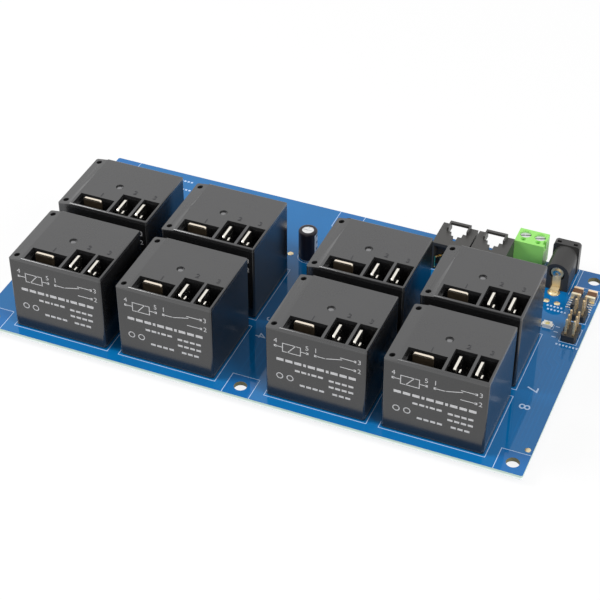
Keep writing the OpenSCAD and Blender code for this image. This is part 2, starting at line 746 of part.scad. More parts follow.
// Contacts of the barrel jack: the centre pin's strip behind the rear face, bent
// out to its solder pad, the sprung ground leaf under the socket and the switch tab.
module barrel_contacts() {
    foot_z = 0.5;
    head_r = 0.75 * barrel_strip_w;
    strip_y = rivet_face - barrel_tab_t;
    tail = leg_bottom - board_t;
    leaf_z = 2;
    leaf_l = 0.26 * barrel_l;
    switch_h = 3;
    color("gold") translate([barrel_x, barrel_rear, board_t]) {
        difference() {
            union() {
                translate([-barrel_strip_w / 2, strip_y, foot_z])
                    cube([barrel_strip_w, barrel_tab_t, barrel_axis_z - foot_z]);
                translate([0, strip_y, barrel_axis_z]) along_y(barrel_tab_t)
                    circle(r = head_r);
                translate([-barrel_strip_w / 2, -barrel_tab_gap - barrel_tab_t / 2, foot_z])
                    cube([barrel_strip_w, barrel_tab_gap + rivet_face + barrel_tab_t / 2,
                          barrel_tab_t]);
                translate([0, -barrel_tab_gap, tail])
                    block(barrel_strip_w, barrel_tab_t, foot_z + barrel_tab_t - tail);
            }
            translate([0, -1, barrel_axis_z]) rotate([-90, 0, 0])
                cylinder(r = barrel_shank_r + hair, h = 4, $fn = 32);
        }
        translate([0, bore_tab_y - barrel_rear, tail])
            block(barrel_tab_w, barrel_tab_t, leaf_z + barrel_tab_t - tail);
        translate([-barrel_tab_w / 2, bore_tab_y - barrel_rear, leaf_z]) rotate([22, 0, 0])
            cube([barrel_tab_w, leaf_l, barrel_tab_t]);
        translate([switch_tab[0] - barrel_x, switch_tab[1] - barrel_rear, tail])
            block(barrel_tab_t, barrel_tab_w, switch_h - tail);
    }
}

// Two headers: insulators notched between their pins, and the square pins.
module header_block(mid_y, rows, places) {
    notch = 0.45;
    translate([header_x, mid_y, board_t]) difference() {
        block(2 * header_pitch, rows * header_pitch, header_base_h);
        for (r = [0:rows], s = [-1, 1])
            translate([s * header_pitch, (r - rows / 2) * header_pitch, -1])
                rotate([0, 0, 45]) block(2 * notch, 2 * notch, header_base_h + 2);
        for (l = places)
            translate([l[0] - header_x, l[1] - mid_y, -1])
                block(header_pin_w + hair, header_pin_w + hair, header_base_h + 2);
    }
}

module header_base() {
    color([0.1, 0.1, 0.1]) {
        header_block(header_mid_y, header_rows, header_legs);
        header_block(back_header_mid_y, back_header_rows, back_header_legs);
    }
}

module header_pins() {
    color("gold") for (l = concat(header_legs, back_header_legs))
        translate([l[0], l[1], board_t])
            square_pin(header_pin_w, leg_bottom - board_t, header_pin_h);
}

// Integrated circuit: a body with drafted sides and two rows of gull-wing leads.
ic_seat = 0.15;
ic_h = 1.9;
ic_waist = 1;
ic_lead_t = 0.2;

module ic_body() {
    draft = 0.25;
    color([0.12, 0.12, 0.13]) translate([ic_x, ic_y, board_t]) difference() {
        intersection() {
            translate([0, -ic_l / 2, 0]) along_y(ic_l)
                polygon([[-ic_w / 2 + draft, ic_seat], [ic_w / 2 - draft, ic_seat],
                         [ic_w / 2, ic_waist], [ic_w / 2 - draft, ic_h],
                         [-ic_w / 2 + draft, ic_h], [-ic_w / 2, ic_waist]]);
            along_x(ic_w + 1)
                polygon([[-ic_l / 2 + draft, ic_seat], [ic_l / 2 - draft, ic_seat],
                         [ic_l / 2, ic_waist], [ic_l / 2 - draft, ic_h],
                         [-ic_l / 2 + draft, ic_h], [-ic_l / 2, ic_waist]]);
        }
        translate([-ic_w / 2 + 1.1, ic_l / 2 - 1.2, ic_h - 0.12]) cylinder(r = 0.5, h = 1);
    }
}

module ic_leads() {
    lead_w = 0.42;
    lead_pitch = 1.27;
    knee = ic_w / 2 + 0.45;
    toe = ic_span / 2;
    z0 = ic_waist - ic_lead_t / 2;
    z1 = ic_waist + ic_lead_t / 2;
    color("silver") translate([ic_x, ic_y, board_t])
        for (side = [0, 180], i = [0:ic_leads_per_side - 1]) rotate([0, 0, side])
            translate([0, (i - (ic_leads_per_side - 1) / 2) * lead_pitch - lead_w / 2, 0])
                along_y(lead_w)
                    polygon([[ic_w / 2, z0], [knee - ic_lead_t, z0], [knee, 0], [toe, 0],
                             [toe, ic_lead_t], [knee + ic_lead_t, ic_lead_t],
                             [knee, z1], [ic_w / 2, z1]]);
}

// Chip capacitors: ceramic bodies between metal ends.
module chip_bodies() {
    color("saddlebrown") for (p = chip_places) on_board(p) translate([0, 0, 0.1])
        block(chip_w - 0.1, chip_l - 2 * chip_end, chip_h - 0.2);
}

module chip_ends() {
    color("burlywood") for (p = chip_places, s = [-1, 1]) on_board(p)
        translate([0, s * (chip_l - chip_end) / 2, 0]) block(chip_w, chip_end, chip_h);
}

// Indicator: a white frame round a clear window, with a metal end on each side.
module led_body() {
    color("white") on_board(led_place) difference() {
        block(led_w, led_l, 1.3);
        translate([0, 0, 0.8]) cylinder(r = min(led_w, led_l) * 0.38, h = 1);
    }
}

module led_ends() {
    color("silver") for (s = [-1, 1]) on_board(led_place)
        translate([s * (led_w / 2 + 0.2), 0, 0]) block(0.4, led_l - 0.4, 0.7);
}

board();
for (n = RELAYS) {
    relay_cover(n);
    relay_base(n);
    com_tab(n);
    switch_tabs(n);
}
relay_pins();
solder_joints();
capacitor_can();
capacitor_sleeve();
capacitor_leads();
for (n = [1, 2]) {
    jack_housing(n);
    jack_contacts(n);
    terminal_screw(n);
    terminal_clamp(n);
}
terminal_housing();
terminal_contacts();
barrel_housing();
barrel_pin();
barrel_contacts();
header_base();
header_pins();
ic_body();
ic_leads();
chip_bodies();
chip_ends();
led_body();
led_ends();
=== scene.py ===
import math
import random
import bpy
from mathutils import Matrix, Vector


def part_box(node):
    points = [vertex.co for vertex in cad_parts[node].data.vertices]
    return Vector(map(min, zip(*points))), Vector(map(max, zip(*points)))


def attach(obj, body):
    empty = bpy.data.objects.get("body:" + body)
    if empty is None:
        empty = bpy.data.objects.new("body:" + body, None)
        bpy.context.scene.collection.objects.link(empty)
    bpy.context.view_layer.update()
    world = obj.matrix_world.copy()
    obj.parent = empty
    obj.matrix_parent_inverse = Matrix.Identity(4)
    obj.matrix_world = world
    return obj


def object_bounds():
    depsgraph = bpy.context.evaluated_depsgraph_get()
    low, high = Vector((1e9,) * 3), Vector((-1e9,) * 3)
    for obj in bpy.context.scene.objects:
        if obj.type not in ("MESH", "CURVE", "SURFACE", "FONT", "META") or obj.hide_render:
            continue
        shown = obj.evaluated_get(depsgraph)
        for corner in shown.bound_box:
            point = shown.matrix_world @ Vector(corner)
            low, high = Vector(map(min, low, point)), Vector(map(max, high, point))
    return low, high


bl_info = {
    "name": "Relay Board Dressing",
    "version": (1, 0, 0),
    "blender": (4, 5, 0),
    "location": "View3D > Sidebar > Relay Board",
    "description": "Finishes, print, solder pads and studio stage for an eight-relay circuit board",
    "category": "Object",
}

import bmesh
import bpy
from mathutils import Matrix, Vector

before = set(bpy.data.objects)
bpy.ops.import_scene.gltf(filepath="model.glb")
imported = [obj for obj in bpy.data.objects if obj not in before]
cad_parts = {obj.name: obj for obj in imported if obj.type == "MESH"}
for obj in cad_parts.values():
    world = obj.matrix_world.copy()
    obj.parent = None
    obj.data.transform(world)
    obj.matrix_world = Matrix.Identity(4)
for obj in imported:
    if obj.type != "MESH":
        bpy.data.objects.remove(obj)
FRAME_LOW, FRAME_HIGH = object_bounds()

MM = 0.001
BODY = "board_assembly"
RELAYS = range(1, 9)
# centre of the round dimple, with its grey disc of painted highlight, from the front left corner of
# a relay's case, in millimetres
DIMPLE_CENTRE = (15.5, 14.16)
# from chip part to chip part, from pin to pin and from lead to lead, in millimetres
CHIP_PITCH = 4.75
PIN_PITCH = 2.54
LEAD_PITCH = 1.27
BOARD_LOW, BOARD_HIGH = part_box("board")
BOARD_TOP = BOARD_HIGH[2]
# the board's length and width in millimetres, and half of each in metres
BOARD_L = (BOARD_HIGH[0] - BOARD_LOW[0]) / MM
BOARD_W = (BOARD_HIGH[1] - BOARD_LOW[1]) / MM
HALF_L = (BOARD_HIGH[0] - BOARD_LOW[0]) / 2
HALF_W = (BOARD_HIGH[1] - BOARD_LOW[1]) / 2


# ---------------------------------------------------------------- settings


class RelayBoardSizes(bpy.types.PropertyGroup):
    """Sizes of the print and pads that dress the board."""

    line_width: bpy.props.FloatProperty(
        name="Line width", description="Width of the white lines on the board",
        default=0.2 * MM, min=0.05 * MM, unit="LENGTH", precision=5)
    print_depth: bpy.props.FloatProperty(
        name="Print depth", description="Thickness of a layer of printing ink",
        default=0.03 * MM, min=0.005 * MM, unit="LENGTH", precision=5)
    numeral_height: bpy.props.FloatProperty(
        name="Channel numeral", description="Height of the channel numerals on the board",
        default=3.6 * MM, min=1 * MM, unit="LENGTH", precision=5)
    outline_gap: bpy.props.FloatProperty(
        name="Outline gap", description="Distance from a relay case to its printed outline",
        default=0.6 * MM, min=0.1 * MM, unit="LENGTH", precision=5)
    hole_square: bpy.props.FloatProperty(
        name="Hole square", description="Side of the bare square round a mounting hole",
        default=9.15 * MM, min=6 * MM, unit="LENGTH", precision=5)
    edge_round: bpy.props.FloatProperty(
        name="Edge rounding", description="Radius of the fine rounding on moulded edges",
        default=0.12 * MM, min=0.02 * MM, unit="LENGTH", precision=5)


class RelayBoardColours(bpy.types.PropertyGroup):
    """Colours of the board, the plastics and the metals."""

    mask: bpy.props.FloatVectorProperty(
        name="Solder mask", description="Blue of the mask over copper",
        default=(0.002, 0.142, 0.39), subtype="COLOR", size=3, min=0, max=1)
    bare_mask: bpy.props.FloatVectorProperty(
        name="Mask over laminate", description="Blue of the mask where no copper lies under it",
        default=(0.002, 0.128, 0.385), subtype="COLOR", size=3, min=0, max=1)
    laminate: bpy.props.FloatVectorProperty(
        name="Laminate", description="Cut edge of the glass laminate",
        default=(0.5, 0.65, 0.58), subtype="COLOR", size=3, min=0, max=1)
    # the laminate as painted shade inside a hole: darker and browner than at the outer edge
    drilled: bpy.props.FloatVectorProperty(
        name="Drilled wall", description="Wall of a drilled mounting hole",
        default=(0.17, 0.16, 0.08), subtype="COLOR", size=3, min=0, max=1)
    ink: bpy.props.FloatVectorProperty(
        name="Ink", description="White printing ink",
        default=(0.52, 0.68, 0.93), subtype="COLOR", size=3, min=0, max=1)
    case: bpy.props.FloatVectorProperty(
        name="Relay case", description="Black plastic of the relay cases",
        default=(0.02, 0.02, 0.021), subtype="COLOR", size=3, min=0, max=1)
    green: bpy.props.FloatVectorProperty(
        name="Terminal green", description="Plastic of the screw terminal",
        default=(0.29, 0.7, 0.15), subtype="COLOR", size=3, min=0, max=1)
    gold: bpy.props.FloatVectorProperty(
        name="Gold", description="Gold plating",
        default=(0.83, 0.58, 0.24), subtype="COLOR", size=3, min=0, max=1)
    tin: bpy.props.FloatVectorProperty(
        name="Tin", description="Tin plating and solder",
        default=(0.8, 0.79, 0.76), subtype="COLOR", size=3, min=0, max=1)


def sizes():
    """Sizes as set in the sidebar."""
    return bpy.context.scene.relay_board_sizes


def colours():
    """Colours as set in the sidebar."""
    return bpy.context.scene.relay_board_colours


# ---------------------------------------------------------------- materials


class Field:
    """One output of a shader node. Arithmetic on it adds Math nodes."""

    def __init__(self, finish, socket):
        self.finish = finish
        self.socket = socket

    def __add__(self, other):
        return self.finish.math("ADD", self, other)

    __radd__ = __add__

    def __sub__(self, other):
        return self.finish.math("SUBTRACT", self, other)

    def __rsub__(self, other):
        return self.finish.math("SUBTRACT", other, self)

    def __mul__(self, other):
        return self.finish.math("MULTIPLY", self, other)

    __rmul__ = __mul__

    def __truediv__(self, other):
        return self.finish.math("DIVIDE", self, other)

    def __rtruediv__(self, other):
        return self.finish.math("DIVIDE", other, self)

    def __abs__(self):
        return self.finish.math("ABSOLUTE", self)

    def above(self, limit, soft=0.01 * MM):
        """1 where the value is over limit and 0 below it, with a soft step."""
        return self.finish.node(
            "ShaderNodeMapRange", {"interpolation_type": "SMOOTHSTEP"},
            {"Value": self, "From Min": limit - soft, "From Max": limit + soft})

    def below(self, limit, soft=0.01 * MM):
        """1 where the value is under limit and 0 above it, with a soft step."""
        return 1 - self.above(limit, soft)

    def either(self, other):
        """The larger of two masks."""
        return self.finish.math("MAXIMUM", self, other)


class Finish:
    """Shader nodes being put together for a material, or for the world that is given."""

    def __init__(self, name, world=None):
        self.owner = world or bpy.data.materials.new(name)
        self.owner.use_nodes = True
        self.tree = self.owner.node_tree
        self.tree.nodes.clear()
        self.place = None

    def node(self, kind, settings=None, values=None, out=0):
        """Adds a node, with its settings first and then its sockets' values or links."""
        made = self.tree.nodes.new(kind)
        for name, value in (settings or {}).items():
            if name == "stops":
                self.fill_ramp(made.color_ramp, value)
            else:
                setattr(made, name, value)
        for name, value in (values or {}).items():
            socket = made.inputs[name]
            if isinstance(value, Field):
                self.tree.links.new(value.socket, socket)
            elif socket.type == "RGBA" and len(value) == 3:
                socket.default_value = (*value, 1)
            else:
                socket.default_value = value
        return Field(self, made.outputs[out])

    @staticmethod
    def fill_ramp(ramp, stops):
        while len(ramp.elements) < len(stops):
            ramp.elements.new(1)
        for element, (position, colour) in zip(ramp.elements, stops):
            element.position = position
            element.color = (*colour, 1)

    def math(self, operation, *values):
        """Math node on fields and numbers."""
        return self.node("ShaderNodeMath", {"operation": operation}, dict(enumerate(values)))

    def coordinates(self):
        """Object coordinates: the vector, and its X, Y and Z as fields."""
        if self.place is None:
            vector = self.node("ShaderNodeTexCoord", out="Object")
            split = [self.node("ShaderNodeSeparateXYZ", None, {0: vector}, out=i)
                     for i in range(3)]
            self.place = (vector, *split)
        return self.place

    def noise(self, scale, detail=2, roughness=0.5):
        """Soft noise over the surface."""
        vector = self.coordinates()[0]
        return self.node("ShaderNodeTexNoise", None,
                         {"Vector": vector, "Scale": scale, "Detail": detail,
                          "Roughness": roughness})

    def mix(self, factor, first, second):
        """Colour between first and second."""
        return self.node("ShaderNodeMix", {"data_type": "RGBA"},
                         {0: factor, 6: first, 7: second}, out=2)

    def bump(self, height, distance, strength):
        """Normal tilted by a height field, for what is finer than the mesh."""
        return self.node("ShaderNodeBump", None,
                         {"Height": height, "Distance": distance, "Strength": strength})

    def surface(self, **values):
        """Closes the material with a Principled surface. Underscores stand for spaces."""
        named = {name.replace("_", " "): value for name, value in values.items()}
        return self.close(self.node("ShaderNodeBsdfPrincipled", None, named))

    def close(self, shader, kind="ShaderNodeOutputMaterial"):
        """Ends the nodes in their output. Returns the material or the world."""
        made = self.tree.nodes.new(kind)
        self.tree.links.new(shader.socket, made.inputs["Surface"])
        return self.owner


def shade(colour, factor):
    """Colour made darker or lighter by a factor."""
    return tuple(min(1, value * factor) for value in colour)


def moulded_plastic(name, colour, gloss, grain=0.02, ior=1.5, cloud=0.12):
    """Injection-moulded plastic: soft clouding in colour and gloss, and a fine grain."""
    finish = Finish(name)
    clouds = finish.noise(90, 3)
    fine = finish.noise(5200, 2)
    return finish.surface(
        Base_Color=finish.mix(clouds, shade(colour, 1 - cloud), shade(colour, 1 + cloud)),
        Roughness=gloss + (clouds - 0.5) * 0.06 + (fine - 0.5) * 0.05,
        IOR=ior,
        Normal=finish.bump(fine, grain * MM, 0.35))


def plated_metal(name, colour, gloss, brushed=0.0, tarnish=0.15, metal=1.0):
    """Plated metal: slight tarnish in patches, and drawn or rolled streaks along Z."""
    finish = Finish(name)
    vector = finish.coordinates()[0]
    patches = finish.noise(700, 3)
    stretched = finish.node("ShaderNodeMapping", {"vector_type": "POINT"},
                            {"Vector": vector, "Scale": (9000, 9000, 400)})
    streaks = finish.node("ShaderNodeTexNoise", None,
                          {"Vector": stretched, "Scale": 1.0, "Detail": 2})
    return finish.surface(
        Base_Color=finish.mix(patches, shade(colour, 1 - tarnish), colour),
        Metallic=metal,
        Roughness=gloss + (patches - 0.5) * 0.12 + (streaks - 0.5) * 0.12 * brushed,
        Normal=finish.bump(streaks, 0.004 * MM, 0.3 * brushed))


def blade_finish(name, colour, node):
    """Wide blade: painted highlight along the top edge, where its rounding catches the light; brown
    and dull further down.
    """
    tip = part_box(node)[1][2]
    finish = Finish(name)
    # painted highlight: the top 0.45 mm of the blade made bright and metallic
    lit_top_edge = finish.coordinates()[3].above(tip - 0.45 * MM, 0.15 * MM)
    patches = finish.noise(900, 3)
    flank = finish.mix(patches, (0.012, 0.009, 0.005), (0.06, 0.043, 0.026))
    return finish.surface(
        Base_Color=finish.mix(lit_top_edge, flank, colour),
        Metallic=0.25 + lit_top_edge * 0.75,
        Roughness=0.42 - lit_top_edge * 0.22 + patches * 0.06)


def bare_areas(x, y):
    """1 on the hole squares and along the border, where no copper lies under the mask."""
    square = sizes().hole_square
    border = 0.5 * MM
    soft = 0.08 * MM
    at_ends = abs(x).above(HALF_L - square, soft)
    at_middle = abs(x).below(square / 2, soft)
    at_sides = abs(y).above(HALF_W - square, soft)
    rim = abs(x).above(HALF_L - border, soft).either(abs(y).above(HALF_W - border, soft))
    return (at_ends.either(at_middle) * at_sides).either(rim)


def cut_glass(finish):
    """Cut laminate: brown and darker in the holes as painted shade, and pale outside, palest
    towards the bottom.
    """
    c = colours()
    _, x, y, z = finish.coordinates()
    near_edge = 0.2 * MM
    grain = finish.noise(1800, 3)
    outside = abs(x).above(HALF_L - near_edge).either(abs(y).above(HALF_W - near_edge))
    # painted shade: the laminate inside the holes is given the darker brown of the drilled colour
    hole_walls_in_painted_shade = finish.mix(grain, shade(c.drilled, 0.7), c.drilled)
    upper = finish.mix(grain, shade(c.laminate, 0.8), c.laminate)
    all_round = finish.mix(z.below(0.75 * MM, 0.4 * MM), upper, (0.84, 0.89, 0.86))
    return finish.mix(outside, hole_walls_in_painted_shade, all_round)


def solder_mask_finish():
    """Board: blue mask over a copper pour, paler mask on bare laminate, cut edges."""
    c = colours()
    finish = Finish("solder_mask")
    vector, x, y, z = finish.coordinates()
    weave = finish.node("ShaderNodeTexBrick", {"offset": 0.5},
                        {"Vector": vector, "Scale": 1 / (0.9 * MM), "Mortar Size": 0.06,
                         "Color1": (1, 1, 1), "Color2": (0.94, 0.94, 0.94),
                         "Mortar": (0.9, 0.9, 0.9)}, out="Fac")
    clouds = finish.noise(45, 4, 0.6)
    grain = finish.noise(2600, 2)
    over_copper = finish.mix(clouds, shade(c.mask, 0.88), shade(c.mask, 1.12))
    over_bare = finish.mix(clouds * 0.6 + weave * 0.25,
                           shade(c.bare_mask, 0.9), shade(c.bare_mask, 1.15))
    masked = finish.mix(bare_areas(x, y), over_copper, over_bare)
    skin = 0.035 * MM
    edge = z.above(skin, 0.005 * MM) * z.below(BOARD_TOP - skin, 0.005 * MM)
    return finish.surface(
        Base_Color=finish.mix(edge, masked, cut_glass(finish)),
        Roughness=0.035 + edge * 0.5 + (clouds - 0.5) * 0.02 + (grain - 0.5) * 0.01,
        IOR=1.46,
        Normal=finish.bump(grain * 0.4 + clouds, 0.02 * MM, 0.12))


def relay_case_finish():
    """Relay case: polished sides in painted shade, their black halved, and a slightly duller top.
    """
    c = colours()
    finish = Finish("relay_plastic")
    z = finish.coordinates()[3]
    sides_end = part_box("relay_cover_1")[1][2] - 1.4 * MM
    top = z.above(sides_end, 0.2 * MM)
    clouds = finish.noise(60, 3)
    grain = finish.noise(4200, 3)
    sink = finish.noise(26, 1)
    faded = finish.mix(clouds, shade(c.case, 0.8), shade(c.case, 1.2))
    return finish.surface(
        # painted shade: the sides take the case's black at half; the top keeps its own black with
        # clouding
        Base_Color=finish.mix(top, shade(c.case, 0.5), faded),
        Roughness=0.2 + top * 0.08 + (clouds - 0.5) * 0.05 + (grain - 0.5) * 0.04,
        IOR=1.69,
        Coat_Weight=top * 0.35,
        Coat_Roughness=0.25,
        Normal=finish.bump(grain * 0.02 + sink, 0.12 * MM, 0.12))


def sleeve_finish():
    """Capacitor sleeve: black film with a pale stripe down one side and dark dashes on it."""
    low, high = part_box("capacitor_sleeve")
    radius = (high[0] - low[0]) / 2
    finish = Finish("capacitor_sleeve")
    _, x, y, z = finish.coordinates()
    angle = math.radians(2)
    facing = ((x - (low[0] + high[0]) / 2) * math.cos(angle)
              + (y - (low[1] + high[1]) / 2) * math.sin(angle)) / radius
    stripe = facing.above(0.9, 0.01) * z.below(high[2] - 0.9 * MM, 0.03 * MM)
    dash_pitch = 2.6 * MM
    wave = finish.math("FRACT", (z - low[2]) / dash_pitch)
    dash = wave.above(0.35, 0.02) * wave.below(0.7, 0.02) * facing.above(0.985, 0.002)
    film = finish.noise(500, 2)
    return finish.surface(
        Base_Color=finish.mix(stripe * (1 - dash), (0.014, 0.011, 0.018), (0.55, 0.6, 0.66)),
        Roughness=0.3 + film * 0.08,
        IOR=1.4,
        Normal=finish.bump(film, 0.03 * MM, 0.2))


def chip_finish():
    """Fired ceramic: brown with fine speckle."""
    finish = Finish("chip_ceramic")
    speckle = finish.noise(2500, 4, 0.7)
    return finish.surface(
        Base_Color=finish.mix(speckle, (0.05, 0.017, 0.004), (0.14, 0.055, 0.013)),
        Roughness=0.38 + speckle * 0.2,
        Normal=finish.bump(speckle, 0.02 * MM, 0.4))


def chip_end_finish():
    """Tinned chip ends: duller and paler at the front, warmer at the back."""
    low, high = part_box("chip_ends")
    finish = Finish("chip_end")
    y = finish.coordinates()[2]
    back = y.above((low[1] + high[1]) / 2)
    patches = finish.noise(900, 3)
    tint = finish.mix(back, (0.8, 0.7, 0.46), (0.92, 0.62, 0.36))
    return finish.surface(
        Base_Color=finish.mix(patches * 0.6, tint, (0.95, 0.9, 0.78)),
        Metallic=0.65,
        Roughness=0.3 + patches * 0.14,
        Normal=finish.bump(patches, 0.02 * MM, 0.4))


def led_finish():
    """Indicator: white frame, with pale resin in the round window."""
    low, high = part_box("led_body")
    finish = Finish("led_white")
    _, x, y, z = finish.coordinates()
    dx = x - (low[0] + high[0]) / 2
    dy = y - (low[1] + high[1]) / 2
    reach = finish.math("SQRT", dx * dx + dy * dy)
    window = reach.below(0.82 * MM, 0.03 * MM) * z.above(BOARD_TOP + 0.7 * MM, 0.02 * MM)
    grain = finish.noise(3000, 2)
    return finish.surface(
        Base_Color=finish.mix(window, (0.82, 0.82, 0.78), (0.78, 0.66, 0.25)),
        Roughness=0.35 - window * 0.25 + grain * 0.08)


def ink_finish(name, colour, gloss):
    """Printing ink, slightly worn."""
    finish = Finish(name)
    worn = finish.noise(1500, 3)
    return finish.surface(
        Base_Color=finish.mix(worn, shade(colour, 0.86), colour),
        Roughness=gloss + worn * 0.15,
        Normal=finish.bump(worn, 0.01 * MM, 0.3))


def paint(names, material):
    """Gives CAD nodes a material in every slot of theirs."""
    for name in names:
        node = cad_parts[name]
        if not node.material_slots:
            node.data.materials.append(material)
        for slot in node.material_slots:
            slot.link = "OBJECT"
            slot.material = material


def round_edges(names, share=1.0):
    """Fine rounding on the sharp edges of moulded CAD nodes, so that they catch the light."""
    for name in names:
        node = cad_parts[name]
        weld = node.modifiers.new("weld", "WELD")
        weld.merge_threshold = 0.001 * MM
        bevel = node.modifiers.new("edge_round", "BEVEL")
        bevel.width = sizes().edge_round * share
        bevel.segments = 2
        bevel.limit_method = "ANGLE"
        bevel.angle_limit = math.radians(40)


# ---------------------------------------------------------------- mesh helpers


class Face:
    """A flat place on the object, with axes across and up and its own origin."""

    def __init__(self, origin, across, up):
        across = Vector(across).normalized()
        up = Vector(up).normalized()
        turn = Matrix((across, up, across.cross(up))).transposed().to_4x4()
        self.matrix = Matrix.Translation(Vector(origin)) @ turn

    def at(self, u, v, angle=0.0, lift=0.0):
        """Matrix of a spot on the face, from its distances in millimetres."""
        spot = Matrix.Translation((u * MM, v * MM, lift))
        return self.matrix @ spot @ Matrix.Rotation(angle, 4, "Z")


def board_face():
    """Top of the board, measured from its front left corner."""
    return Face((BOARD_LOW[0], BOARD_LOW[1], BOARD_TOP), (1, 0, 0), (0, 1, 0))


def bar(mesh, face, u, v, w, h, depth, angle=0.0):
    """Thin bar on a face: centre and size in millimetres, depth in metres."""
    shape = Matrix.Diagonal((w * MM, h * MM, depth, 1))
    matrix = face.at(u, v, angle, depth / 2) @ shape
    bmesh.ops.create_cube(mesh, size=1, matrix=matrix)


def line(mesh, face, start, end, width, depth):
    """Straight stroke between two points in millimetres."""
    du, dv = end[0] - start[0], end[1] - start[1]
    middle = ((start[0] + end[0]) / 2, (start[1] + end[1]) / 2)
    bar(mesh, face, *middle, math.hypot(du, dv) + width, width, depth, math.atan2(dv, du))


def path(mesh, face, points, width, depth):
    """Strokes from point to point. Every second one is thinner, so that no tops coincide."""
    for i, (start, end) in enumerate(zip(points, points[1:])):
        line(mesh, face, start, end, width, depth * (1 - 0.2 * (i % 2)))


def rectangle(mesh, face, low, high, width, depth):
    """Stroked rectangle between two corners in millimetres."""
    path(mesh, face, [low, (high[0], low[1]), high, (low[0], high[1]), low], width, depth)


def outline(mesh, face, node, gaps, width, depth):
    """Stroked rectangle round a CAD node, with its gaps across and up in millimetres."""
    low, high = span(node)
    rectangle(mesh, face, (low[0] - gaps[0], low[1] - gaps[1]),
              (high[0] + gaps[0], high[1] + gaps[1]), width, depth)


def lathe(mesh, face, u, v, profile, steps=32):
    """Turned shape about a spot's normal: profile of radius and height in millimetres.

    A profile that starts on the axis is closed underneath.
    """
    if profile[0][0] == 0:
        profile = [*profile, (0, profile[-1][1])]
    matrix = face.at(u, v)
    points = [mesh.verts.new(matrix @ Vector((r * MM, 0, h * MM))) for r, h in profile]
    edges = [mesh.edges.new(pair) for pair in zip(points, points[1:])]
    if profile[0][0] > 0 and profile[-1][0] > 0:
        edges.append(mesh.edges.new((points[-1], points[0])))
    axis = (matrix.to_3x3() @ Vector((0, 0, 1))).normalized()
    bmesh.ops.spin(mesh, geom=points + edges, cent=matrix.translation, axis=axis,
                   angle=2 * math.pi, steps=steps, use_merge=True)


# meshes of the numerals made so far, by text, height and depth
GLYPHS = {}


def numeral(mesh, face, u, v, text, height, depth, angle=0.0):
    """Plain numeral, its centre and height in millimetres."""
    key = (text, height, depth)
    if key not in GLYPHS:
        curve = bpy.data.curves.new("numeral", "FONT")
        curve.body = text
        curve.align_x = "CENTER"
        curve.align_y = "CENTER"
        curve.size = height * MM / 0.7
        curve.extrude = depth / 2
        curve.resolution_u = 4
        holder = bpy.data.objects.new("numeral", curve)
        bpy.context.collection.objects.link(holder)
        graph = bpy.context.evaluated_depsgraph_get()
        GLYPHS[key] = bpy.data.meshes.new_from_object(holder.evaluated_get(graph))
        bpy.data.objects.remove(holder)
    glyph = GLYPHS[key].copy()
    glyph.transform(face.at(u, v, angle, depth / 2))
    mesh.from_mesh(glyph)
    bpy.data.meshes.remove(glyph)


def piece(name, mesh, material, smooth=False, body=BODY):
    """Finished object from a bmesh, riding on a CAD body."""
    bmesh.ops.remove_doubles(mesh, verts=mesh.verts, dist=0.0005 * MM)
    bmesh.ops.recalc_face_normals(mesh, faces=mesh.faces)
    data = bpy.data.meshes.new(name)
    mesh.to_mesh(data)
    mesh.free()
    data.materials.append(material)
    if smooth:
        data.polygons.foreach_set("use_smooth", [True] * len(data.polygons))
    made = bpy.data.objects.new(name, data)
    bpy.context.collection.objects.link(made)
    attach(made, body)
    return made


def span(node):
    """Low and high corner of a CAD node, in millimetres from the board's front left corner."""
    low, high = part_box(node)
    corner = (BOARD_LOW[0], BOARD_LOW[1], BOARD_TOP)
    return ([(low[i] - corner[i]) / MM for i in range(3)],
            [(high[i] - corner[i]) / MM for i in range(3)])


# ---------------------------------------------------------------- operators


class RELAYBOARD_OT_board(bpy.types.Operator):
    """Give the bare board its mask, copper and cut edges"""

    bl_idname = "relayboard.board"
    bl_label = "Board finish"

    def execute(self, context):
        paint(["board"], solder_mask_finish())
        return {"FINISHED"}


class RELAYBOARD_OT_relays(bpy.types.Operator):
    """Finish the relay cases, base plates and blades"""

    bl_idname = "relayboard.relays"
    bl_label = "Relays"

    def execute(self, context):
        covers = [f"relay_cover_{n}" for n in RELAYS]
        paint(covers, relay_case_finish())
        round_edges(covers)
        paint([f"relay_base_{n}" for n in RELAYS],
              moulded_plastic("relay_base_plastic", (0.03, 0.03, 0.032), 0.45))
        paint([f"com_tab_{n}" for n in RELAYS],
              blade_finish("brass_blade", (0.88, 0.79, 0.66), "com_tab_1"))
        paint([f"switch_tabs_{n}" for n in RELAYS],
              plated_metal("tinned_blade", (0.9, 0.86, 0.78), 0.22, 1.0))
        blades = [f"{kind}_{n}" for kind in ("com_tab", "switch_tabs") for n in RELAYS]
        round_edges(blades, 0.9)
        return {"FINISHED"}


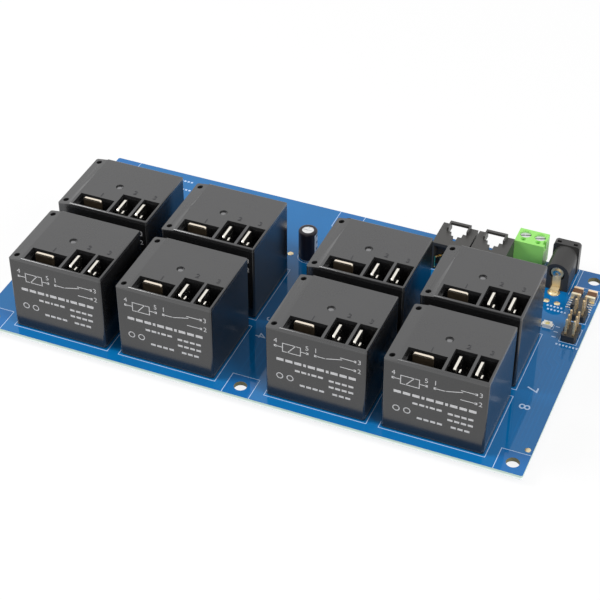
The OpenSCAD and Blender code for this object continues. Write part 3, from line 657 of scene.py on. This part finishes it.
class RELAYBOARD_OT_numerals(bpy.types.Operator):
    """Raise a plain numeral behind each terminal pocket of the relays"""

    bl_idname = "relayboard.numerals"
    bl_label = "Relay terminal numerals"

    def execute(self, context):
        mesh = bmesh.new()
        height, depth = 1.9, 0.12 * MM
        for n in RELAYS:
            low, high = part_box(f"relay_cover_{n}")
            top = Face((low[0], low[1], high[2]), (1, 0, 0), (0, 1, 0))
            for text, u, v in (("1", 12.2, 8.1), ("2", 21.9, 13.2), ("3", 29.0, 13.2)):
                numeral(mesh, top, u, v, text, height, depth)
        piece("relay_numerals", mesh, bpy.data.materials["relay_plastic"])
        self.gate_marks()
        return {"FINISHED"}

    def gate_marks(self):
        """Grey disc at the bottom of each case's round dimple, a painted highlight where the
        dimple's floor catches the light.
        """
        mesh = bmesh.new()
        dimple_depth = 0.6 * MM
        for n in RELAYS:
            low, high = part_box(f"relay_cover_{n}")
            dimple = Face((low[0], low[1], high[2] - dimple_depth), (1, 0, 0), (0, 1, 0))
            lathe(mesh, dimple, *DIMPLE_CENTRE, [(0, 0.22), (0.75, 0.2), (0.98, 0.12), (1.04, 0)], 24)
        # painted highlight: a grey far lighter than the case's black
        material = moulded_plastic("painted_dimple_highlight", (0.17, 0.17, 0.175), 0.3)
        piece("gate_marks", mesh, material, smooth=True)


class RELAYBOARD_OT_relay_print(bpy.types.Operator):
    """Print a plain contact diagram and rows of dashes on each relay's front"""

    bl_idname = "relayboard.relay_print"
    bl_label = "Relay front print"

    def execute(self, context):
        mesh = bmesh.new()
        depth = 0.02 * MM
        stroke = 0.26
        for n in RELAYS:
            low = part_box(f"relay_cover_{n}")[0]
            front = Face((low[0], low[1], BOARD_TOP), (1, 0, 0), (0, 0, 1))
            self.diagram(mesh, front, stroke, depth)
            self.dashes(mesh, front, depth)
        material = ink_finish("case_ink", (0.52, 0.52, 0.53), 0.5)
        piece("relay_print", mesh, material)
        return {"FINISHED"}

    def diagram(self, mesh, front, stroke, depth):
        """Coil box on the left, and a changeover contact on the right, with pin numerals."""
        coil_low, coil_high = (5.6, 19.4), (11.4, 22.6)
        rectangle(mesh, front, coil_low, coil_high, stroke, depth)
        line(mesh, front, (7.2, 19.4), (9.8, 22.6), stroke, depth)
        line(mesh, front, (3.4, 21), coil_low[:1] + (21,), stroke, depth)
        line(mesh, front, coil_high[:1] + (21,), (13.4, 21), stroke, depth)
        line(mesh, front, (16.4, 21), (19.4, 21), stroke, depth)
        line(mesh, front, (19.4, 21), (24.6, 22.3), stroke, depth)
        line(mesh, front, (24.2, 22.9), (28.6, 22.9), stroke, depth)
        line(mesh, front, (24.2, 19.4), (28.6, 19.4), stroke, depth)
        for u, v in ((3.2, 21), (13.6, 21), (16.2, 21), (28.8, 22.9), (28.8, 19.4)):
            bar(mesh, front, u, v, 0.8, 0.8, depth)
        for text, u, v in (("4", 3.3, 23), ("5", 13.5, 23), ("1", 16.3, 23),
                           ("3", 30.2, 22.9), ("2", 30.2, 19.4)):
            numeral(mesh, front, u, v, text, 1.7, depth)

    def dashes(self, mesh, front, depth):
        """Rows of short dashes in place of words."""
        long, short, dot = 2.3, 1.6, 0.7
        rows = [
            (16.0, 3.6, (long, long, long, 0.9, long, long, 0.9, long, long, long), 0.6, 1.0),
            (13.0, 9.6, (short, short, dot, short, short), 0.5, 0.75),
            (12.6, 20.6, (short,) * 4, 0.5, 0.75),
            (10.2, 20.6, (short,) * 4, 0.5, 0.75),
            (7.6, 11.2, (short,) * 4, 0.5, 0.75),
            (7.6, 21.8, (short,) * 3, 0.5, 0.75),
        ]
        for v, start, lengths, gap, height in rows:
            u = start
            for length in lengths:
                bar(mesh, front, u + length / 2, v, length, height, depth)
                u += length + gap
        for u in (4.6, 8.0):
            lathe(mesh, front, u, 9.4, [(1.15, 0), (1.15, 0.02), (0.85, 0.02), (0.85, 0)], 24)


class RELAYBOARD_OT_board_print(bpy.types.Operator):
    """Print outlines, channel numerals and hole squares on the board"""

    bl_idname = "relayboard.board_print"
    bl_label = "Board print"

    def execute(self, context):
        s = sizes()
        mesh = bmesh.new()
        face = board_face()
        width, depth = s.line_width / MM, s.print_depth
        self.relay_outlines(mesh, face, width, depth)
        self.channel_numerals(mesh, face, depth)
        self.hole_squares(mesh, face, width, depth)
        self.part_outlines(mesh, face, width, depth)
        self.notes(mesh, face, depth)
        material = ink_finish("board_ink", colours().ink, 0.45)
        piece("board_print", mesh, material)
        return {"FINISHED"}

    def relay_outlines(self, mesh, face, width, depth):
        """A rectangle round each relay."""
        gap = sizes().outline_gap / MM
        for n in RELAYS:
            outline(mesh, face, f"relay_cover_{n}", (gap, gap), width, depth)

    def channel_numerals(self, mesh, face, depth):
        """Numerals 1 to 8 in the aisles, each by its relay's corner."""
        height = sizes().numeral_height / MM
        sideways = -math.pi / 2
        for n in RELAYS:
            low, high = span(f"relay_cover_{n}")
            inner_column = (n - 1) // 2 in (0, 2)
            u = high[0] + (2.7 if inner_column else 5.0)
            v = low[1] + 1.6 if n % 2 else high[1] - 2.6
            numeral(mesh, face, u, v, str(n), height, depth, sideways)

    def hole_squares(self, mesh, face, width, depth):
        """Squares round the six mounting holes, ending at the board's edge."""
        side = sizes().hole_square / MM
        inset = width / 2
        for v_edge, v_in in ((inset, side), (BOARD_W - inset, BOARD_W - side)):
            for u_edge, u_in in ((inset, side), (BOARD_L - inset, BOARD_L - side)):
                path(mesh, face, [(u_in, v_edge), (u_in, v_in), (u_edge, v_in)], width, depth)
            middle = BOARD_L / 2
            path(mesh, face, [(middle - side / 2, v_edge), (middle - side / 2, v_in),
                              (middle + side / 2, v_in), (middle + side / 2, v_edge)],
                 width, depth)

    def part_outlines(self, mesh, face, width, depth):
        """Lines round the headers, the chips, the sockets, the capacitor and the indicator."""
        low, high = span("header_base")
        rows_end = low[1] + 3 * PIN_PITCH, high[1] - 2 * PIN_PITCH
        for near, far in ((low[1], rows_end[0]), (rows_end[1], high[1])):
            rectangle(mesh, face, (low[0] - 0.3, near - 0.25), (high[0] + 0.3, far + 0.25),
                      width, depth)
        low, high = span("ic_body")
        for v in (low[1] - 0.35, high[1] + 0.35):
            line(mesh, face, (low[0], v), (high[0], v), width, depth)
        low, high = span("barrel_housing")
        path(mesh, face, [(low[0] - 0.4, BOARD_W - width), (low[0] - 0.4, low[1] + 0.3)],
             width, depth)
        path(mesh, face, [(high[0] + 0.4, BOARD_W - width), (high[0] + 0.4, low[1] - 0.6)],
             width, depth)
        for n in (1, 2):
            low, high = span(f"jack_housing_{n}")
            path(mesh, face, [(low[0] - 0.2, high[1]), (low[0] - 0.2, low[1] - 0.4),
                              (high[0] + 0.2, low[1] - 0.4)], width, depth)
        low, high = span("terminal_housing")
        path(mesh, face, [(low[0] - 0.3, BOARD_W - width), (low[0] - 0.3, low[1] - 0.3),
                          (high[0] + 0.3, low[1] - 0.3), (high[0] + 0.3, BOARD_W - width)],
             width, depth)
        low, high = span("capacitor_sleeve")
        radius = (high[0] - low[0]) / 2 + 0.15
        lathe(mesh, face, (low[0] + high[0]) / 2, (low[1] + high[1]) / 2,
              [(radius, 0), (radius, depth / MM), (radius + width, depth / MM),
               (radius + width, 0)], 48)
        outline(mesh, face, "led_ends", (0.3, 0.3), width * 0.8, depth)
        outline(mesh, face, "chip_ends", (0.35, 0.75), width * 0.8, depth)

    def notes(self, mesh, face, depth):
        """Short dashes in place of the words beside the connectors."""
        thick, thin = 0.8, 0.4
        for place in ((175.2, 64.4), (175.2, 67.0), (175.2, 69.6)):
            bar(mesh, face, *place, 1.4, thin, depth)
        rows = (((177.0, 61.4), 7, 0.6, 0.5), ((169.0, 79.2), 5, 0.6, 0.55),
                ((169.6, 77.4), 6, 0.6, 0.55), ((27.6, 97.4), 4, 0.8, 0.5),
                ((30.2, 92.6), 3, 0.8, 0.5))
        for (u, v), count, length, gap in rows:
            for i in range(count):
                bar(mesh, face, u + i * (length + gap), v, length, thick, depth)
        for i in range(3):
            bar(mesh, face, 126.6, 85.6 + i * 1.3, thick, thick, depth, math.pi / 2)


class RELAYBOARD_OT_pads(bpy.types.Operator):
    """Lay gold pads and solder collars round the leads on the board's top"""

    bl_idname = "relayboard.pads"
    bl_label = "Pads and solder"

    def execute(self, context):
        face = board_face()
        gold = bmesh.new()
        self.header_rings(gold, face)
        for u, v in ((80.4, 72.5), (127.4, 71.1), (167.9, 81.4), (171.6, 81.2)):
            lathe(gold, face, u, v, [(0, 0.34), (0.35, 0.31), (0.68, 0.2), (0.95, 0.05),
                                     (1.05, 0)], 28)
        lathe(gold, face, 182.5, 11.2, [(0, 0.12), (0.6, 0.1), (0.9, 0.03), (0.95, 0)], 28)
        piece("gold_pads", gold, plated_metal("pad_gold", (0.9, 0.74, 0.46), 0.28, metal=0.7),
              smooth=True)
        self.fillets(face)
        return {"FINISHED"}

    def fillets(self, face):
        """Solder round the barrel jack's rear tab, the chip ends and the chip's leads."""
        warm = bmesh.new()
        low, high = span("barrel_housing")
        lathe(warm, face, (low[0] + high[0]) / 2, low[1] - 1.4,
              [(0, 0.6), (0.8, 0.56), (1.3, 0.36), (1.65, 0.12), (1.85, 0.04), (2.1, 0.04),
               (2.12, 0)], 32)
        low, high = span("chip_ends")
        width = high[0] - low[0] - CHIP_PITCH
        for u in (low[0] + width / 2, high[0] - width / 2):
            for v in (low[1] - 0.12, high[1] + 0.12):
                bar(warm, face, u, v, width, 0.75, 0.3 * MM)
        piece("solder_fillets", warm,
              plated_metal("fillet_solder", (0.92, 0.74, 0.43), 0.24, metal=0.75))
        tin = bmesh.new()
        low, high = span("ic_leads")
        middle = (low[1] + high[1]) / 2
        for u in (low[0] + 0.6, high[0] - 0.6):
            for i in range(4):
                bar(tin, face, u, middle + (i - 1.5) * LEAD_PITCH, 1.7, 0.62, 0.05 * MM)
        piece("chip_pads", tin, plated_metal("pad_solder", colours().tin, 0.3))

    def header_rings(self, mesh, face):
        """Gold rings round the pins of the front header and the back header."""
        low, high = span("header_pins")
        half_pin = 0.32
        near, far = low[1] + half_pin, high[1] - half_pin
        for u in (low[0] + half_pin, high[0] - half_pin):
            for v in (near, near + PIN_PITCH, near + 2 * PIN_PITCH, far - PIN_PITCH, far):
                lathe(mesh, face, u, v, [(0.5, 0), (0.5, 0.05), (0.9, 0.05), (0.9, 0)], 20)


class RELAYBOARD_OT_traces(bpy.types.Operator):
    """Lay the copper tracks and vias that show through the mask"""

    bl_idname = "relayboard.traces"
    bl_label = "Copper tracks"

    def execute(self, context):
        face = board_face()
        mesh = bmesh.new()
        depth = 0.02 * MM
        for i in range(5):
            u = 176.4 + i * 1.3
            path(mesh, face, [(u, 12), (u, 46 + i * 2), (u - 2.2, 48.2 + i * 2),
                              (u - 2.2, 58 + i * 0.6)], 0.42, depth)
        for i in range(8):
            v = 66.2 + i * 1.15
            path(mesh, face, [(20 + i * 6, v), (76 - i, v), (78.4 - i, v + 2.4)], 0.42, depth)
            path(mesh, face, [(92 + i, v + 3), (120, v + 3), (122.2, v + 0.8),
                              (166, v + 0.8)], 0.42, depth)
        for i in range(4):
            u = 5.4 + i * 1.4
            path(mesh, face, [(u, 14 + i * 3), (u, 80 - i), (u + 4, 84 - i),
                              (70, 84 - i)], 0.5, depth)
        for i in range(3):
            u = 89.2 + i * 2.3
            path(mesh, face, [(u, 11.5), (u, 62)], 0.7, depth)
        dice = random.Random(7)
        for _ in range(46):
            u, v = dice.uniform(4, 181), dice.uniform(64.5, 94)
            lathe(mesh, face, u, v, [(0, 0.02), (0.33, 0.02), (0.36, 0)], 12)
        piece("copper_tracks", mesh, self.track_finish())
        return {"FINISHED"}

    def track_finish(self):
        """The board's mask where it lies over a track, a little lighter."""
        mask = colours().mask
        finish = Finish("track_mask")
        clouds = finish.noise(300, 2)
        return finish.surface(
            Base_Color=finish.mix(clouds, shade(mask, 1.02), shade(mask, 1.16)),
            Roughness=0.04 + clouds * 0.03,
            IOR=1.46)


class RELAYBOARD_OT_connectors(bpy.types.Operator):
    """Finish the jacks, the screw terminal and the header"""

    bl_idname = "relayboard.connectors"
    bl_label = "Connectors"

    def execute(self, context):
        gold, tin = colours().gold, colours().tin
        jacks = ["jack_housing_1", "jack_housing_2"]
        paint(jacks, moulded_plastic("jack_plastic", (0.044, 0.0425, 0.04), 0.38, ior=1.52))
        paint(["barrel_housing"],
              moulded_plastic("barrel_plastic", (0.029, 0.0285, 0.028), 0.38, ior=1.46))
        paint(["header_base"], moulded_plastic("header_plastic", (0.02, 0.02, 0.02), 0.4))
        paint(["terminal_housing"],
              moulded_plastic("terminal_green", colours().green, 0.42, cloud=0.05))
        paint(["jack_contacts_1", "jack_contacts_2"],
              plated_metal("gold_contact", gold, 0.24, 0.6))
        paint(["barrel_contacts"],
              plated_metal("strip_brass", (0.92, 0.77, 0.5), 0.4, 0.6, metal=0.65))
        paint(["header_pins"],
              plated_metal("header_gold", (0.87, 0.66, 0.38), 0.28, 0.8, metal=0.65))
        paint(["barrel_pin"], plated_metal("pin_nickel", (0.78, 0.72, 0.6), 0.2, 0.4))
        paint(["terminal_screw_1", "terminal_screw_2"],
              plated_metal("screw_steel", (0.76, 0.78, 0.77), 0.26, 0.5, metal=0.9))
        paint(["terminal_clamp_1", "terminal_clamp_2"],
              plated_metal("clamp_steel", (0.7, 0.7, 0.72), 0.3, 0.8))
        paint(["relay_pins", "capacitor_leads", "terminal_contacts"],
              plated_metal("tinned_copper", tin, 0.25, 0.5))
        round_edges(jacks + ["barrel_housing", "terminal_housing"])
        round_edges(["header_base"], 0.5)
        return {"FINISHED"}


class RELAYBOARD_OT_small_parts(bpy.types.Operator):
    """Finish the capacitor, the surface-mounted parts and the solder"""

    bl_idname = "relayboard.small_parts"
    bl_label = "Small parts"

    def execute(self, context):
        paint(["capacitor_sleeve"], sleeve_finish())
        paint(["capacitor_can"], plated_metal("aluminium_can", (0.85, 0.86, 0.87), 0.3, 0.3))
        paint(["ic_body"], moulded_plastic("chip_plastic", (0.028, 0.028, 0.03), 0.42, 0.05))
        paint(["solder_joints", "ic_leads", "led_ends"],
              plated_metal("solder", colours().tin, 0.26, 0.3))
        paint(["chip_bodies"], chip_finish())
        paint(["chip_ends"], chip_end_finish())
        paint(["led_body"], led_finish())
        round_edges(["ic_body"], 0.4)
        round_edges(["chip_ends", "chip_bodies", "led_body"], 0.8)
        return {"FINISHED"}


class RELAYBOARD_OT_stage(bpy.types.Operator):
    """Set up the camera, the soft light and the white floor"""

    bl_idname = "relayboard.stage"
    bl_label = "Studio stage"

    def execute(self, context):
        self.camera(context.scene)
        self.floor()
        self.world(context.scene)
        self.lamps()
        context.scene.view_settings.view_transform = "Standard"
        return {"FINISHED"}

    def camera(self, scene):
        """Long lens from the front right, looking down on the board."""
        data = bpy.data.cameras.new("camera")
        data.sensor_width = 36
        data.lens = 101.96
        eye = bpy.data.objects.new("camera", data)
        scene.collection.objects.link(eye)
        corner = Vector((BOARD_LOW[0], BOARD_LOW[1], BOARD_TOP))
        eye.location = corner + Vector((259.1, -350.3, 352.7)) * MM
        looking = Vector((-0.2971, 0.7169, -0.6308))
        eye.rotation_mode = "QUATERNION"
        eye.rotation_quaternion = looking.to_track_quat("-Z", "Y")
        scene.camera = eye

    def floor(self):
        """White paper just under the lowest solder joint, which keeps a faint shadow."""
        mesh = bmesh.new()
        level = Matrix.Translation((0, 0, FRAME_LOW[2] - 0.05 * MM))
        bmesh.ops.create_grid(mesh, x_segments=1, y_segments=1, size=4, matrix=level)
        data = bpy.data.meshes.new("floor")
        mesh.to_mesh(data)
        mesh.free()
        finish = Finish("floor_white")
        paper = finish.node("ShaderNodeBsdfDiffuse", None, {"Color": (0.9, 0.9, 0.9)})
        glow = finish.node("ShaderNodeEmission", None, {"Color": (1, 1, 1), "Strength": 1.0})
        shader = finish.node("ShaderNodeMixShader", None,
                             {0: self.seen(finish) * 0.88, 1: paper, 2: glow})
        data.materials.append(finish.close(shader))
        floor = bpy.data.objects.new("floor", data)
        bpy.context.collection.objects.link(floor)

    def seen(self, finish):
        """1 for rays from the camera, in reflections and through clear pieces."""
        rays = [finish.node("ShaderNodeLightPath", out=name)
                for name in ("Is Camera Ray", "Is Glossy Ray", "Is Transmission Ray")]
        return rays[0].either(rays[1]).either(rays[2])

    def world(self, scene):
        """White to the eye and in reflections, and a softer light on everything else."""
        scene.world = bpy.data.worlds.new("studio")
        finish = Finish("studio", scene.world)
        light = finish.node("ShaderNodeBackground", None,
                            {"Color": (1, 1, 1), "Strength": 0.48})
        white = finish.node("ShaderNodeBackground", None,
                            {"Color": (1, 1, 1), "Strength": 1.0})
        shader = finish.node("ShaderNodeMixShader", None,
                             {0: self.seen(finish), 1: light, 2: white})
        finish.close(shader, "ShaderNodeOutputWorld")

    def lamps(self):
        """Large soft key from the left and a fill from the right, in metres and watts."""
        self.lamp("key", (-0.62, -0.2, 0.6), 0.45, 5.5)
        self.lamp("fill", (0.65, -0.25, 0.5), 0.5, 4.0)

    def lamp(self, name, place, size, power):
        """Round lamp that points at the middle of the board."""
        data = bpy.data.lights.new(name, "AREA")
        data.shape = "DISK"
        data.size = size
        data.energy = power
        lamp = bpy.data.objects.new(name, data)
        lamp.location = place
        lamp.rotation_mode = "QUATERNION"
        lamp.rotation_quaternion = (-Vector(place)).to_track_quat("-Z", "Y")
        bpy.context.collection.objects.link(lamp)


class RELAYBOARD_PT_panel(bpy.types.Panel):
    """Lists the steps that dress the relay board"""

    bl_label = "Relay Board"
    bl_idname = "RELAYBOARD_PT_panel"
    bl_space_type = "VIEW_3D"
    bl_region_type = "UI"
    bl_category = "Relay Board"

    def draw(self, context):
        layout = self.layout
        for group in (context.scene.relay_board_sizes, context.scene.relay_board_colours):
            box = layout.box()
            for name in group.__annotations__:
                box.prop(group, name)
        for step in STEPS:
            layout.operator(step.bl_idname)


STEPS = (RELAYBOARD_OT_board, RELAYBOARD_OT_relays, RELAYBOARD_OT_connectors,
         RELAYBOARD_OT_small_parts, RELAYBOARD_OT_numerals, RELAYBOARD_OT_relay_print,
         RELAYBOARD_OT_board_print, RELAYBOARD_OT_pads, RELAYBOARD_OT_traces,
         RELAYBOARD_OT_stage)
CLASSES = (RelayBoardSizes, RelayBoardColours, *STEPS, RELAYBOARD_PT_panel)


def register():
    for kind in CLASSES:
        bpy.utils.register_class(kind)
    bpy.types.Scene.relay_board_sizes = bpy.props.PointerProperty(type=RelayBoardSizes)
    bpy.types.Scene.relay_board_colours = bpy.props.PointerProperty(type=RelayBoardColours)


def unregister():
    del bpy.types.Scene.relay_board_colours
    del bpy.types.Scene.relay_board_sizes
    for kind in reversed(CLASSES):
        bpy.utils.unregister_class(kind)


def main():
    register()
    for step in STEPS:
        group, name = step.bl_idname.split(".")
        getattr(getattr(bpy.ops, group), name)()


if __name__ == "__main__":
    main()
